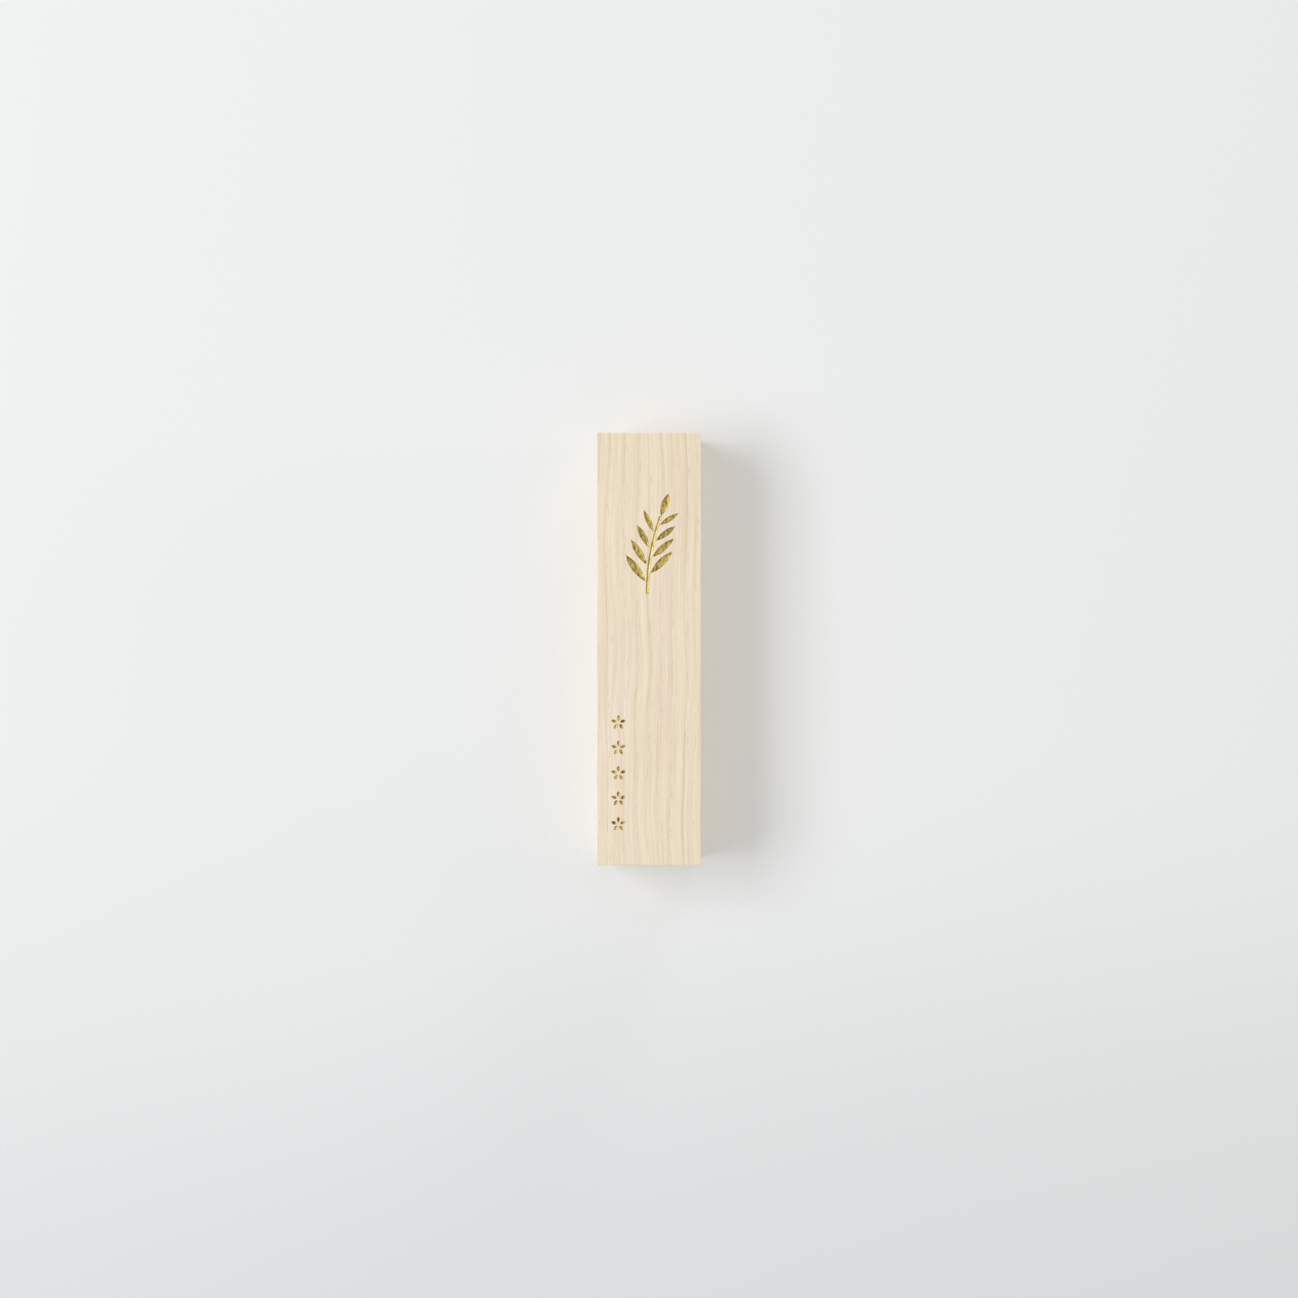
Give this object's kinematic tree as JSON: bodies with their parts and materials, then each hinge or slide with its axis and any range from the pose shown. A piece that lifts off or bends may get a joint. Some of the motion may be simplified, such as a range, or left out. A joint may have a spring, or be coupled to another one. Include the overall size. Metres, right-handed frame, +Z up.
{
  "type": "incense stick box",
  "caption": "Slim pale paulownia wood box with a flush lift-off lid stamped in gold foil, holding a paper-wrapped packet of incense sticks.",
  "frame": {"origin": "centre of the base board's underside", "axes": "+Z up through the lid, +Y along the length to the far end that carries the sprig, +X to the right"},
  "size_m": [0.036, 0.15, 0.0291],
  "materials": {
    "paulownia": "bare planed wood, pale straw colour with soft tan grain lines",
    "gold_foil": "hot-stamped foil, satin",
    "washi": "matt off-white paper with fibres",
    "band_paper": "matt straw-coloured paper",
    "incense": "matt pressed wood powder, brown"
  },
  "bodies": {
    "box": {"base_board": "paulownia", "left_side_board": "paulownia", "right_side_board": "paulownia", "far_end_board": "paulownia", "near_end_board": "paulownia"},
    "lid": {"lid_board": "paulownia", "left_batten": "paulownia", "right_batten": "paulownia", "far_batten": "paulownia", "near_batten": "paulownia", "foil_sprig": "gold_foil", "foil_florets": "gold_foil"},
    "packet": {"wrapping_paper": "washi", "stick_01": "incense", "stick_02": "incense", "stick_03": "incense", "stick_04": "incense", "stick_05": "incense", "stick_06": "incense", "stick_07": "incense", "stick_08": "incense", "stick_09": "incense", "stick_10": "incense", "stick_11": "incense", "stick_12": "incense", "stick_13": "incense", "stick_14": "incense", "stick_15": "incense", "stick_16": "incense", "stick_17": "incense", "stick_18": "incense", "stick_19": "incense", "stick_20": "incense", "stick_21": "incense", "stick_22": "incense", "stick_23": "incense", "stick_24": "incense", "stick_25": "incense", "stick_26": "incense", "stick_27": "incense", "stick_28": "incense", "stick_29": "incense", "stick_30": "incense"},
    "band": {"paper_band": "band_paper"}
  },
  "joints": [
    {"name": "lid_lift", "type": "slide", "parent": "box", "child": "lid", "axis": [0, 0, 1], "range_m": [0, 0.06]},
    {"name": "packet_lift", "type": "slide", "parent": "box", "child": "packet", "axis": [0, 0, 1], "range_m": [0, 0.0045]},
    {"name": "band_slide", "type": "slide", "parent": "packet", "child": "band", "axis": [0, 1, 0], "range_m": [-0.058, 0.058]}
  ]
}
